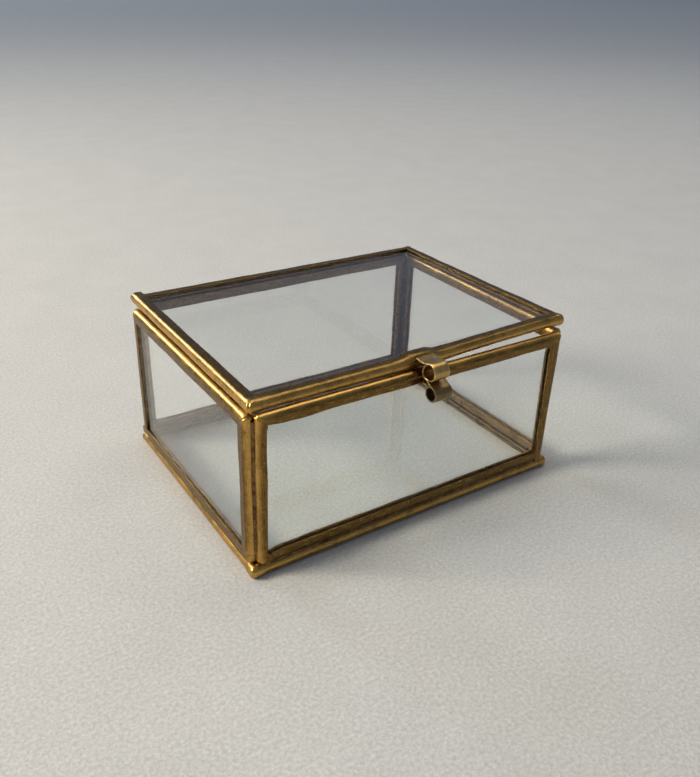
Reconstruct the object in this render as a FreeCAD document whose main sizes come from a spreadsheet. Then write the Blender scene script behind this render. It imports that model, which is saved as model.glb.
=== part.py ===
import FreeCAD, Part
import math
import os
import Sketcher
from FreeCAD import Matrix, Placement, Rotation, Vector

# A small glass keepsake box. Six panes of glass are each edged with one strip of brass
# channel, and the edged panes are soldered to each other. The lid swings on two hinges
# of rolled brass strip at the back, and a rolled strip on the lid and another on the box
# make the clasp at the front.
#
# Millimetres, +Z up, front towards -Y. The origin is on the table, in the middle of the
# outline that the box covers with its clasp and hinges.

doc = FreeCAD.newDocument("glass_box")
sizes = doc.addObject("Spreadsheet::Sheet", "sizes")

DRIVING_SIZES = [
    ("width", 100.0, "box, left to right"),
    ("depth", 75.4, "box, front to back"),
    ("wall_height", 44.8, "table to the top of the walls"),
    ("channel_width", 3.2, "brass channel, across the glass"),
    ("channel_wall", 0.55, "thickness of the channel's brass"),
    ("channel_reach", 3.25, "how far the channel covers a pane, from its outer edge"),
    ("glass_fit", 0.05, "play between glass and channel, each face"),
    ("glass_edge_gap", 0.1, "gap between a pane's edge and the channel's round back"),
    ("solder_gap", 0.05, "gap between two channels that are soldered together"),
    ("seam_recess", 0.5, "how deep a solder seam lies in the groove of a corner"),
    ("seam_depth", 0.6, "depth of a solder seam"),
    ("seam_clear", 0.02, "gap between a solder seam and the channels beside it"),
    ("lid_gap", 0.4, "gap between the walls and the closed lid"),
    ("lid_side_inset", 0.6, "how much less the lid reaches to each side than the box"),
    ("lid_shift", 0.5, "how far the lid sits to the right of the middle"),
    ("lid_front_inset", 2.3, "from the box's front face to the lid's front edge"),
    ("lid_back_inset", 0.5, "from the box's back face to the lid's back edge"),
    ("strip", 0.55, "thickness of the clasp's brass strip"),
    ("curl_gap", 0.12, "opening left where a rolled strip nearly closes"),
    ("lid_clasp_width", 4.8, "clasp strip on the lid"),
    ("lid_clasp_offset", -0.1, "its place, right of the middle"),
    ("lid_curl_radius", 2.4, "outer radius of its roll"),
    ("lid_curl_reach", 2.6, "from the box's front face to the roll's middle"),
    ("box_clasp_width", 5.4, "clasp strip on the box"),
    ("box_clasp_offset", 1.1, "its place, right of the middle"),
    ("box_curl_radius", 2.15, "outer radius of its roll"),
    ("box_curl_reach", 3.2, "from the box's front face to the roll's middle"),
    ("box_curl_drop", 4.7, "from the top of the walls to the roll's middle"),
    ("box_strap_drop", 1.4, "from the top of the walls to where the strip leaves the wall"),
    ("clasp_solder", 0.15, "solder under the lid's clasp strip"),
    ("bead_depth", 0.4, "solder under the box's clasp strip, out from the wall"),
    ("bead_height", 0.8, "height of that solder"),
    ("hinge_spacing", 56.0, "between the middles of the two hinges"),
    ("hinge_strip", 0.5, "thickness of the hinges' brass strip"),
    ("pin_radius", 0.85, "hinge wire"),
    ("pin_fit", 0.05, "play between wire and roll"),
    ("pin_end", 0.4, "how far the wire stands out of the outer rolls"),
    ("pin_chamfer", 0.2, "chamfer on the wire's ends"),
    ("lid_knuckle_width", 6.0, "middle roll of a hinge"),
    ("box_knuckle_width", 4.0, "outer rolls of a hinge"),
    ("knuckle_gap", 0.15, "gap between two rolls"),
    ("hinge_box_strap", 3.0, "length of a box roll's strap, from the wire"),
    ("hinge_lid_strap", 2.2, "length of a lid roll's strap, from the wire"),
    ("hinge_solder", 0.8, "height of the solder behind a lid roll's strap"),
    ("hinge_seat", 0.05, "gap between the box's back face and the hinge straps"),
]
for row, (alias, number, meaning) in enumerate(DRIVING_SIZES, start=1):
    sizes.set(f"A{row}", meaning)
    sizes.set(f"B{row}", str(number))
    sizes.setAlias(f"B{row}", alias)
doc.recompute()

# Lengths worked out from the driving sizes.
WEB_RADIUS = "(sizes.channel_width / 2)"
BORE_RADIUS = "(sizes.channel_width / 2 - sizes.channel_wall)"
CORNER_INSET = "((sizes.channel_width + sizes.solder_gap) / sqrt(2))"
FRONT_WALL_LENGTH = f"(sizes.width - 2 * {CORNER_INSET})"
SIDE_WALL_LENGTH = f"(sizes.depth - 2 * {CORNER_INSET})"
WALL_PANEL_HEIGHT = "(sizes.wall_height - sizes.channel_width - sizes.solder_gap)"
WALL_PANEL_MIDDLE = f"(sizes.wall_height - {WALL_PANEL_HEIGHT} / 2)"
GLASS_THICKNESS = "(sizes.channel_width - 2 * sizes.channel_wall - 2 * sizes.glass_fit)"
GLASS_INSET = f"({WEB_RADIUS} + sizes.glass_edge_gap)"
SEAM_HALF_SPACING = "((sizes.channel_width + sizes.solder_gap) / 2)"
SEAM_ARC_RADIUS = f"({WEB_RADIUS} + sizes.seam_clear)"
SEAM_OUTSIDE = f"({WEB_RADIUS} - sizes.seam_recess)"
SEAM_INSIDE = f"({SEAM_OUTSIDE} - sizes.seam_depth)"
KNUCKLE_RADIUS = "(sizes.pin_radius + sizes.pin_fit + sizes.hinge_strip)"
CLASP_REACH = (
    "max(sizes.lid_curl_reach + sizes.lid_curl_radius;"
    " sizes.box_curl_reach + sizes.box_curl_radius)"
)
HINGE_REACH = f"(sizes.hinge_seat + 2 * {KNUCKLE_RADIUS})"
MIDDLE = f"(({CLASP_REACH} - {HINGE_REACH}) / 2)"
FRONT_FACE = f"({MIDDLE} - sizes.depth / 2)"
BACK_FACE = f"({MIDDLE} + sizes.depth / 2)"
LID_UNDERSIDE = "(sizes.wall_height + sizes.lid_gap)"
LID_TOP = f"({LID_UNDERSIDE} + sizes.channel_width)"
LID_WIDTH = "(sizes.width - 2 * sizes.lid_side_inset)"
LID_DEPTH = "(sizes.depth - sizes.lid_front_inset - sizes.lid_back_inset)"
LID_FRONT = f"({FRONT_FACE} + sizes.lid_front_inset)"
LID_MIDDLE = f"({LID_FRONT} + {LID_DEPTH} / 2)"
HINGE_AXIS_BACK = f"({BACK_FACE} + sizes.hinge_seat + {KNUCKLE_RADIUS})"
HINGE_AXIS_UP = "(sizes.wall_height + sizes.lid_gap / 2)"
PIN_LENGTH = (
    "(sizes.lid_knuckle_width + 2 * sizes.knuckle_gap"
    " + 2 * sizes.box_knuckle_width + 2 * sizes.pin_end)"
)

# Directions that a piece's own X, Y and Z axes can point in.
RIGHT = Vector(1, 0, 0)
LEFT = Vector(-1, 0, 0)
BACKWARD = Vector(0, 1, 0)
FORWARD = Vector(0, -1, 0)
UP = Vector(0, 0, 1)
DOWN = Vector(0, 0, -1)

START, END, CENTRE = 1, 2, 3
SKETCH_ORIGIN = (-1, 1)
X_AXIS, Y_AXIS = -1, -2

parts = []


def value(expression):
    """The number that an expression of the sheet's sizes gives now."""
    return float(sizes.evalExpression(expression))


def turned(x_axis, y_axis):
    """The rotation that points a piece's own X and Y axes along two directions."""
    z_axis = x_axis.cross(y_axis)
    columns = Matrix(
        x_axis.x, y_axis.x, z_axis.x, 0,
        x_axis.y, y_axis.y, z_axis.y, 0,
        x_axis.z, y_axis.z, z_axis.z, 0,
    )
    return Rotation(columns)


def new_body(name):
    """A body for one piece, labelled with the piece's name."""
    body = doc.addObject("PartDesign::Body", name)
    body.Label = name
    parts.append(body)
    return body


def place(piece, rotation, right, back, up):
    """Turn a piece and tie its place to the sheet with three expressions."""
    piece.Placement = Placement(Vector(), rotation)
    for axis, expression in zip("xyz", (right, back, up)):
        piece.setExpression(f"Placement.Base.{axis}", expression)


def new_sketch(body, name, role):
    """An empty sketch on one of the body's own origin planes."""
    sketch = body.newObject("Sketcher::SketchObject", name)
    plane = next(p for p in body.Origin.OriginFeatures if p.Role == role)
    sketch.AttachmentSupport = [(plane, "")]
    sketch.MapMode = "FlatFace"
    return sketch


def line(x1, y1, x2, y2):
    """A straight edge of a sketch."""
    return Part.LineSegment(Vector(x1, y1, 0), Vector(x2, y2, 0))


def arc(x, y, radius, start_angle, end_angle):
    """An arc of a sketch, counter-clockwise, with angles in radians."""
    circle = Part.Circle(Vector(x, y, 0), Vector(0, 0, 1), radius)
    return Part.ArcOfCircle(circle, start_angle, end_angle)


def add_outline(sketch, edges):
    """Add edges that follow each other and join them into one closed outline.

    Each edge is given with the end at which the outline enters it and the one at which
    it leaves it.
    """
    for geometry, _enters, _leaves in edges:
        sketch.addGeometry(geometry, False)
    for i, (_geometry, _enters, leaves) in enumerate(edges):
        following = (i + 1) % len(edges)
        entry = edges[following][1]
        sketch.addConstraint(Sketcher.Constraint("Coincident", i, leaves, following, entry))


def constrain(sketch, *arguments):
    """Add one constraint without a size."""
    sketch.addConstraint(Sketcher.Constraint(*arguments))


def dimension(sketch, name, expression, *arguments):
    """Add one constraint whose size is tied to the sheet."""
    number = sketch.addConstraint(Sketcher.Constraint(*arguments, value(expression)))
    sketch.renameConstraint(number, name)
    sketch.setExpression(f"Constraints.{name}", expression)


def pad(body, sketch, name, length):
    """Pad a sketch by a length of the sheet, half of it to each side."""
    feature = body.newObject("PartDesign::Pad", name)
    feature.Profile = sketch
    feature.SideType = "Symmetric"
    feature.setExpression("Length", length)
    return feature


def add_pane(name, length, breadth):
    """A pane of glass in its own XY plane, cut to lie inside its channel."""
    body = new_body(name)
    sketch = new_sketch(body, f"{name}_outline", "XY_Plane")
    half_x = f"({length} / 2 - {GLASS_INSET})"
    half_y = f"({breadth} / 2 - {GLASS_INSET})"
    x = value(half_x)
    y = value(half_y)
    add_outline(sketch, [
        (line(-x, -y, x, -y), START, END),
        (line(x, -y, x, y), START, END),
        (line(x, y, -x, y), START, END),
        (line(-x, y, -x, -y), START, END),
    ])
    for edge, direction in enumerate(["Horizontal", "Vertical", "Horizontal", "Vertical"]):
        constrain(sketch, direction, edge)
    constrain(sketch, "Symmetric", 0, START, 1, END, *SKETCH_ORIGIN)
    dimension(sketch, "half_x", half_x, "DistanceX", *SKETCH_ORIGIN, 1, END)
    dimension(sketch, "half_y", half_y, "DistanceY", *SKETCH_ORIGIN, 1, END)
    pad(body, sketch, f"{name}_thickness", GLASS_THICKNESS)
    return body


def add_channel_path(body, name, half_x, half_y):
    """The rectangle that a channel follows, from the middle of its first side."""
    path = new_sketch(body, f"{name}_path", "XY_Plane")
    x = value(half_x)
    y = value(half_y)
    add_outline(path, [
        (line(0, -y, x, -y), START, END),
        (line(x, -y, x, y), START, END),
        (line(x, y, -x, y), START, END),
        (line(-x, y, -x, -y), START, END),
        (line(-x, -y, 0, -y), START, END),
    ])
    directions = ["Horizontal", "Vertical", "Horizontal", "Vertical", "Horizontal"]
    for edge, direction in enumerate(directions):
        constrain(path, direction, edge)
    constrain(path, "PointOnObject", 0, START, Y_AXIS)
    constrain(path, "Symmetric", 2, START, 3, END, *SKETCH_ORIGIN)
    dimension(path, "half_x", half_x, "DistanceX", *SKETCH_ORIGIN, 2, START)
    dimension(path, "half_y", half_y, "DistanceY", *SKETCH_ORIGIN, 2, START)
    return path


def add_channel_section(body, name, half_y):
    """The channel's U section: two flanges and a half-round back, open to the pane."""
    section = new_sketch(body, f"{name}_section", "YZ_Plane")
    outer = value(WEB_RADIUS)
    inner = value(BORE_RADIUS)
    back = -value(half_y)
    tip = back + value("sizes.channel_reach") - outer
    quarter = math.pi / 2
    add_outline(section, [
        (line(tip, outer, back, outer), START, END),
        (arc(back, 0, outer, quarter, 3 * quarter), START, END),
        (line(back, -outer, tip, -outer), START, END),
        (line(tip, -outer, tip, -inner), START, END),
        (line(tip, -inner, back, -inner), START, END),
        (arc(back, 0, inner, quarter, 3 * quarter), END, START),
        (line(back, inner, tip, inner), START, END),
        (line(tip, inner, tip, outer), START, END),
    ])
    outer_arc, inner_arc = 1, 5
    for flange_edge in (0, 2, 4, 6):
        constrain(section, "Horizontal", flange_edge)
    for tip_edge in (3, 7):
        constrain(section, "Vertical", tip_edge)
    for round_edge in (outer_arc, inner_arc):
        constrain(section, "Vertical", round_edge, START, round_edge, CENTRE)
        constrain(section, "Vertical", round_edge, END, round_edge, CENTRE)
    constrain(section, "Coincident", outer_arc, CENTRE, inner_arc, CENTRE)
    constrain(section, "PointOnObject", outer_arc, CENTRE, X_AXIS)
    constrain(section, "Vertical", 0, START, 2, END)
    dimension(section, "half_y", half_y, "DistanceX", outer_arc, CENTRE, *SKETCH_ORIGIN)
    dimension(section, "web_radius", WEB_RADIUS, "Radius", outer_arc)
    dimension(section, "bore_radius", BORE_RADIUS, "Radius", inner_arc)
    flange = f"(sizes.channel_reach - {WEB_RADIUS})"
    dimension(section, "flange", flange, "DistanceX", 2, START, 2, END)
    return section


def add_channel(name, length, breadth):
    """One strip of channel, folded round a pane that lies in its own XY plane."""
    body = new_body(name)
    half_x = f"({length} / 2 - {WEB_RADIUS})"
    half_y = f"({breadth} / 2 - {WEB_RADIUS})"
    path = add_channel_path(body, name, half_x, half_y)
    section = add_channel_section(body, name, half_y)
    doc.recompute()
    pipe = body.newObject("PartDesign::AdditivePipe", f"{name}_strip")
    pipe.Profile = section
    pipe.Spine = (path, [f"Edge{i}" for i in range(1, 6)])
    pipe.Transition = "Right corner"
    return body


def add_seam(name, length):
    """A solder seam along its own Z axis, in the groove between two round backs.

    Its two sides are hollow and follow the backs. Its own +Y axis points out of the groove.
    """
    body = new_body(name)
    sketch = new_sketch(body, f"{name}_section", "XY_Plane")
    spacing = value(SEAM_HALF_SPACING)
    radius = value(SEAM_ARC_RADIUS)
    inside = value(SEAM_INSIDE)
    outside = value(SEAM_OUTSIDE)
    angle_in = math.asin(inside / radius)
    angle_out = math.asin(outside / radius)
    x_in = spacing - radius * math.cos(angle_in)
    x_out = spacing - radius * math.cos(angle_out)
    add_outline(sketch, [
        (line(-x_in, inside, x_in, inside), START, END),
        (arc(spacing, 0, radius, math.pi - angle_out, math.pi - angle_in), END, START),
        (line(x_out, outside, -x_out, outside), START, END),
        (arc(-spacing, 0, radius, angle_in, angle_out), END, START),
    ])
    right_arc, left_arc = 1, 3
    constrain(sketch, "Horizontal", 0)
    constrain(sketch, "Horizontal", 2)
    constrain(sketch, "PointOnObject", right_arc, CENTRE, X_AXIS)
    constrain(sketch, "PointOnObject", left_arc, CENTRE, X_AXIS)
    dimension(sketch, "right_arc_place", SEAM_HALF_SPACING,
              "DistanceX", *SKETCH_ORIGIN, right_arc, CENTRE)
    dimension(sketch, "left_arc_place", SEAM_HALF_SPACING,
              "DistanceX", left_arc, CENTRE, *SKETCH_ORIGIN)
    dimension(sketch, "right_arc_radius", SEAM_ARC_RADIUS, "Radius", right_arc)
    dimension(sketch, "left_arc_radius", SEAM_ARC_RADIUS, "Radius", left_arc)
    dimension(sketch, "inside", SEAM_INSIDE, "DistanceY", *SKETCH_ORIGIN, 0, END)
    dimension(sketch, "outside", SEAM_OUTSIDE, "DistanceY", *SKETCH_ORIGIN, 2, START)
    pad(body, sketch, f"{name}_length", length)
    return body


def add_rolled_strip(name, radius, thickness, strap, width):
    """A brass strip rolled into a tube that nearly closes, with a straight strap.

    The roll's middle is the piece's own origin and its axis the piece's own Z axis. The
    strap lies along the roll's -X side and runs towards +Y.
    """
    body = new_body(name)
    sketch = new_sketch(body, f"{name}_section", "XY_Plane")
    outer = value(radius)
    inner = outer - value(thickness)
    length = value(strap)
    closing = 2 * math.pi + math.acos((value("sizes.curl_gap") - inner) / outer)
    cosine = math.cos(closing)
    sine = math.sin(closing)
    add_outline(sketch, [
        (line(-outer, length, -outer, 0), START, END),
        (arc(0, 0, outer, math.pi, closing), START, END),
        (line(outer * cosine, outer * sine, inner * cosine, inner * sine), START, END),
        (arc(0, 0, inner, math.pi, closing), END, START),
        (line(-inner, 0, -inner, length), START, END),
        (line(-inner, length, -outer, length), START, END),
    ])
    outer_arc, cut_end, inner_arc = 1, 2, 3
    constrain(sketch, "Vertical", 0)
    constrain(sketch, "Vertical", 4)
    constrain(sketch, "Horizontal", 5)
    constrain(sketch, "Coincident", outer_arc, CENTRE, *SKETCH_ORIGIN)
    constrain(sketch, "Coincident", inner_arc, CENTRE, *SKETCH_ORIGIN)
    constrain(sketch, "PointOnObject", outer_arc, START, X_AXIS)
    constrain(sketch, "PointOnObject", inner_arc, START, X_AXIS)
    constrain(sketch, "PointOnObject", -1, 1, cut_end)
    dimension(sketch, "outer_radius", radius, "Radius", outer_arc)
    dimension(sketch, "inner_radius", f"({radius} - {thickness})", "Radius", inner_arc)
    dimension(sketch, "strap", strap, "DistanceY", *SKETCH_ORIGIN, 5, START)
    dimension(sketch, "curl_gap", "sizes.curl_gap",
              "DistanceX", inner_arc, START, outer_arc, END)
    pad(body, sketch, f"{name}_width", width)
    return body


def add_solder_pad(name, thickness, length, width):
    """A flat pad of solder, centred on its own origin."""
    body = new_body(name)
    sketch = new_sketch(body, f"{name}_section", "XY_Plane")
    x = value(thickness) / 2
    y = value(length) / 2
    add_outline(sketch, [
        (line(-x, -y, x, -y), START, END),
        (line(x, -y, x, y), START, END),
        (line(x, y, -x, y), START, END),
        (line(-x, y, -x, -y), START, END),
    ])
    for edge, direction in enumerate(["Horizontal", "Vertical", "Horizontal", "Vertical"]):
        constrain(sketch, direction, edge)
    constrain(sketch, "Symmetric", 0, START, 1, END, *SKETCH_ORIGIN)
    dimension(sketch, "thickness", thickness, "DistanceX", 0, START, 0, END)
    dimension(sketch, "length", length, "DistanceY", 1, START, 1, END)
    pad(body, sketch, f"{name}_width", width)
    return body


# The five panels of the box and the lid: a pane and its channel share one place.
FLAT = turned(RIGHT, BACKWARD)
FACING_FRONT = turned(RIGHT, UP)
FACING_SIDE = turned(BACKWARD, UP)
SIDE_WALL_PLACE = f"(sizes.width / 2 - {WEB_RADIUS})"
FRONT_WALL_PLACE = f"({FRONT_FACE} + {WEB_RADIUS})"
BACK_WALL_PLACE = f"({BACK_FACE} - {WEB_RADIUS})"
PANELS = [
    ("base", "sizes.width", "sizes.depth", FLAT, ("0", MIDDLE, WEB_RADIUS)),
    ("front", FRONT_WALL_LENGTH, WALL_PANEL_HEIGHT, FACING_FRONT,
     ("0", FRONT_WALL_PLACE, WALL_PANEL_MIDDLE)),
    ("back", FRONT_WALL_LENGTH, WALL_PANEL_HEIGHT, FACING_FRONT,
     ("0", BACK_WALL_PLACE, WALL_PANEL_MIDDLE)),
    ("left", SIDE_WALL_LENGTH, WALL_PANEL_HEIGHT, FACING_SIDE,
     (f"-{SIDE_WALL_PLACE}", MIDDLE, WALL_PANEL_MIDDLE)),
    ("right", SIDE_WALL_LENGTH, WALL_PANEL_HEIGHT, FACING_SIDE,
     (SIDE_WALL_PLACE, MIDDLE, WALL_PANEL_MIDDLE)),
    ("lid", LID_WIDTH, LID_DEPTH, FLAT,
     ("sizes.lid_shift", LID_MIDDLE, f"({LID_UNDERSIDE} + {WEB_RADIUS})")),
]
for side, length, breadth, rotation, position in PANELS:
    place(add_pane(f"{side}_glass", length, breadth), rotation, *position)
    place(add_channel(f"{side}_channel", length, breadth), rotation, *position)

# Four upright solder seams, in the groove where the round backs of two walls meet.
DIAGONAL = f"({CORNER_INSET} / 2 + {WEB_RADIUS})"
UPRIGHT_SEAM_LENGTH = f"({WALL_PANEL_HEIGHT} - sizes.channel_width)"
for side, sign_x in (("left", -1), ("right", 1)):
    for end, sign_y in (("front", -1), ("back", 1)):
        outward = (sign_x * RIGHT + sign_y * BACKWARD).normalize()
        seam = add_seam(f"{end}_{side}_seam", UPRIGHT_SEAM_LENGTH)
        place(
            seam, turned(outward.cross(UP), outward),
            f"({sign_x} * (sizes.width / 2 - {DIAGONAL}))",
            f"({MIDDLE} + {sign_y} * (sizes.depth / 2 - {DIAGONAL}))",
            WALL_PANEL_MIDDLE,
        )

# Four level solder seams, between the base's round back and those of the walls on it.
BASE_SEAM_HEIGHT = "(sizes.channel_width + sizes.solder_gap / 2)"
BASE_SEAMS = [
    ("front", FRONT_WALL_LENGTH, FORWARD, ("0", FRONT_WALL_PLACE)),
    ("back", FRONT_WALL_LENGTH, BACKWARD, ("0", BACK_WALL_PLACE)),
    ("left", SIDE_WALL_LENGTH, LEFT, (f"-{SIDE_WALL_PLACE}", MIDDLE)),
    ("right", SIDE_WALL_LENGTH, RIGHT, (SIDE_WALL_PLACE, MIDDLE)),
]
for side, length, outward, (seam_x, seam_y) in BASE_SEAMS:
    seam = add_seam(f"base_{side}_seam", f"({length} - sizes.channel_width)")
    place(seam, turned(UP, outward), seam_x, seam_y, BASE_SEAM_HEIGHT)

# The lid's half of the clasp: a strip soldered on the front channel and rolled down.
LID_STRIP_UNDERSIDE = f"({LID_TOP} + sizes.clasp_solder)"
LID_CURL_BACK = f"({FRONT_FACE} - sizes.lid_curl_reach)"
LID_CLASP_STRAP = f"({LID_FRONT} + sizes.channel_reach - {LID_CURL_BACK})"
lid_curl = add_rolled_strip(
    "lid_clasp_curl", "sizes.lid_curl_radius", "sizes.strip", LID_CLASP_STRAP,
    "sizes.lid_clasp_width",
)
place(
    lid_curl, turned(DOWN, BACKWARD), "sizes.lid_clasp_offset", LID_CURL_BACK,
    f"({LID_STRIP_UNDERSIDE} + sizes.strip - sizes.lid_curl_radius)",
)
FLAT_FLANGE = f"(sizes.channel_reach - {WEB_RADIUS})"
lid_clasp_solder = add_solder_pad(
    "lid_clasp_solder", "sizes.clasp_solder", FLAT_FLANGE, "sizes.lid_clasp_width"
)
place(
    lid_clasp_solder, turned(DOWN, BACKWARD), "sizes.lid_clasp_offset",
    f"({LID_FRONT} + sizes.channel_reach - {FLAT_FLANGE} / 2)",
    f"({LID_TOP} + sizes.clasp_solder / 2)",
)

# The box's half of the clasp: a strip that slopes forward from the front channel and is
# rolled under. The strap is tangent to the roll, and that sets its slope and length.
STRAP_RISE = "(sizes.box_curl_drop - sizes.box_strap_drop)"
STRAP_SPAN = f"hypot(sizes.box_curl_reach; {STRAP_RISE})"
ROLL_MIDDLE = "(sizes.box_curl_radius - sizes.strip / 2)"
SLOPE = (
    f"(atan2({STRAP_RISE}; sizes.box_curl_reach)"
    f" - asin({ROLL_MIDDLE} / {STRAP_SPAN}))"
)
# The strap's square end leans, so its lower edge reaches nearer to the wall.
END_CLEARANCE = f"(sizes.strip / 2 * tan({SLOPE}) + sizes.solder_gap)"
BOX_CLASP_STRAP = f"(sqrt({STRAP_SPAN}^2 - {ROLL_MIDDLE}^2) - {END_CLEARANCE})"
slope = math.radians(value(SLOPE))
box_curl = add_rolled_strip(
    "box_clasp_curl", "sizes.box_curl_radius", "sizes.strip", BOX_CLASP_STRAP,
    "sizes.box_clasp_width",
)
sloped_back = Vector(0, math.cos(slope), math.sin(slope))
sloped_down = Vector(0, math.sin(slope), -math.cos(slope))
place(
    box_curl, turned(sloped_down, sloped_back), "sizes.box_clasp_offset",
    f"({FRONT_FACE} - sizes.box_curl_reach)",
    "(sizes.wall_height - sizes.box_curl_drop)",
)
# A bead of solder lies under the strap, in its corner with the wall.
STRAP_UNDERSIDE = (
    f"(sizes.wall_height - sizes.box_strap_drop - sizes.strip / 2 / cos({SLOPE})"
    f" - (sizes.bead_depth + sizes.seam_clear) * tan({SLOPE}))"
)
box_clasp_solder = add_solder_pad(
    "box_clasp_solder", "sizes.bead_depth", "sizes.bead_height", "sizes.box_clasp_width"
)
place(
    box_clasp_solder, turned(BACKWARD, UP), "sizes.box_clasp_offset",
    f"({FRONT_FACE} - sizes.seam_clear - sizes.bead_depth / 2)",
    f"({STRAP_UNDERSIDE} - sizes.seam_clear - sizes.bead_height / 2)",
)

# Two hinges: the box has the two outer rolls, the lid the middle one, on one wire.
KNUCKLE_OFFSET = (
    "(sizes.lid_knuckle_width / 2 + sizes.knuckle_gap + sizes.box_knuckle_width / 2)"
)
LID_WEB_UP = f"({LID_UNDERSIDE} + {WEB_RADIUS})"
HINGE_SOLDER_DEPTH = "(sizes.lid_back_inset + sizes.hinge_seat - 2 * sizes.seam_clear)"
for side, sign in (("left", -1), ("right", 1)):
    hinge_x = f"({sign} * sizes.hinge_spacing / 2)"
    lid_knuckle = add_rolled_strip(
        f"{side}_hinge_lid_roll", KNUCKLE_RADIUS, "sizes.hinge_strip", "sizes.hinge_lid_strap",
        "sizes.lid_knuckle_width",
    )
    place(lid_knuckle, turned(BACKWARD, UP), hinge_x, HINGE_AXIS_BACK, HINGE_AXIS_UP)
    for end, end_sign in (("inner", -sign), ("outer", sign)):
        box_knuckle = add_rolled_strip(
            f"{side}_hinge_{end}_box_roll", KNUCKLE_RADIUS, "sizes.hinge_strip",
            "sizes.hinge_box_strap", "sizes.box_knuckle_width",
        )
        place(
            box_knuckle, turned(BACKWARD, DOWN), f"({hinge_x} + {end_sign} * {KNUCKLE_OFFSET})",
            HINGE_AXIS_BACK, HINGE_AXIS_UP,
        )
    pin = new_body(f"{side}_hinge_pin")
    pin_section = new_sketch(pin, f"{side}_hinge_pin_section", "XY_Plane")
    pin_section.addGeometry(Part.Circle(Vector(), Vector(0, 0, 1), value("sizes.pin_radius")))
    constrain(pin_section, "Coincident", 0, CENTRE, *SKETCH_ORIGIN)
    dimension(pin_section, "radius", "sizes.pin_radius", "Radius", 0)
    wire = pad(pin, pin_section, f"{side}_hinge_pin_length", PIN_LENGTH)
    doc.recompute()
    ends = pin.newObject("PartDesign::Chamfer", f"{side}_hinge_pin_ends")
    round_edges = [
        f"Edge{i}" for i, edge in enumerate(wire.Shape.Edges, start=1) if edge.isClosed()
    ]
    ends.Base = (wire, round_edges)
    ends.setExpression("Size", "sizes.pin_chamfer")
    place(pin, turned(BACKWARD, UP), hinge_x, HINGE_AXIS_BACK, HINGE_AXIS_UP)
    hinge_solder = add_solder_pad(
        f"{side}_hinge_solder", HINGE_SOLDER_DEPTH, "sizes.hinge_solder",
        "sizes.lid_knuckle_width",
    )
    place(
        hinge_solder, turned(BACKWARD, UP), hinge_x,
        f"({BACK_FACE} + sizes.hinge_seat - sizes.seam_clear - {HINGE_SOLDER_DEPTH} / 2)",
        LID_WEB_UP,
    )

doc.recompute()

failed = [
    item.Label for item in doc.Objects
    if "Invalid" in item.State or "Error" in item.State
]
broken = [
    piece.Label for piece in parts
    if piece.Shape.isNull() or not piece.Shape.isValid() or piece.Shape.Volume <= 0
]
if failed or broken:
    raise SystemExit(f"failed objects: {failed}; broken shapes: {broken}")

os.makedirs("parts", exist_ok=True)
for piece in parts:
    piece.Shape.exportStep(f"parts/{piece.Label}.step")
box = FreeCAD.BoundBox()
for piece in parts:
    box.add(piece.Shape.BoundBox)
print(len(parts), "pieces", box)
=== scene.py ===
import math

import bmesh
import bpy
import numpy as np
from mathutils import Matrix, Vector


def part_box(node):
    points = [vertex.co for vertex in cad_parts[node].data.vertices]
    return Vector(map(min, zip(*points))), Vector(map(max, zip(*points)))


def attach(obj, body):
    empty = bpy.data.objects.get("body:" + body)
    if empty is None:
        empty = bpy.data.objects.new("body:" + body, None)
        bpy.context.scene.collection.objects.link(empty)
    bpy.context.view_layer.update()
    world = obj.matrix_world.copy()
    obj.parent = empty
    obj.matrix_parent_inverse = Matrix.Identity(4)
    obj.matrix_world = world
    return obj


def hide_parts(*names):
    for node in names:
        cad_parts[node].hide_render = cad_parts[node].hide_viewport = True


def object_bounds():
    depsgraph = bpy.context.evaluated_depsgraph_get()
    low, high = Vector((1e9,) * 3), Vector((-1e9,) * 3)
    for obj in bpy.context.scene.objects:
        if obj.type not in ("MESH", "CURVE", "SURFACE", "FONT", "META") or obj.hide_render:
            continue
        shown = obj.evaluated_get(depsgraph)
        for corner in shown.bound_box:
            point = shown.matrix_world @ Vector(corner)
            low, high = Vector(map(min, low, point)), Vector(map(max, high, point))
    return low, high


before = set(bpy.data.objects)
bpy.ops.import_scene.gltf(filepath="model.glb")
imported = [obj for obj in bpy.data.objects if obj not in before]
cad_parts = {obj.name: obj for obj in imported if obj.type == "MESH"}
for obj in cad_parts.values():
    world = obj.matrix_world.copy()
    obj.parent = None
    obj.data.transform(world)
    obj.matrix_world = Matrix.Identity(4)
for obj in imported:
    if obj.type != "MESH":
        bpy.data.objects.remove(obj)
cad_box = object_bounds()

# ---------------------------------------------------------------- the panes of glass
# Six panes of clear sheet glass, two millimetres thick, cut by hand to lie inside their
# brass channels. Thin glass of this kind is nearly colourless, a little wavy, and keeps
# faint smudges and dust.
MM = 0.001
X, Y, Z = np.eye(3)
GLASS_TINT = (0.984, 0.993, 0.986, 1.0)
GLASS_SHADOW = (0.98, 0.99, 0.983, 1.0)
GLASS_IOR = 1.5
SMUDGE_SCALE, SMUDGE_ROUGHNESS = 60.0, 0.035
WAVE_SCALE, WAVE_DEPTH, WAVE_STRENGTH = 28.0, 0.0004, 0.25
PANE_STEPS = 40
CUT_EDGE = math.radians(40)
DOUBLES = 1e-6
LID_BACK, LID_DEPTH = 38.0, 72.0
LID_DROP, LID_RISE, RISE_FROM, RISE_OVER = 0.36, 0.9, 2.0, 46.0
LID_AHEAD, AHEAD_FROM, AHEAD_OVER = 0.4, 22.0, 26.0


def new_material(name):
    """An empty node material: its nodes, its links and its principled shader."""
    material = bpy.data.materials.new(name)
    material.use_nodes = True
    nodes = material.node_tree.nodes
    return material, nodes, material.node_tree.links, nodes["Principled BSDF"]


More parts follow.
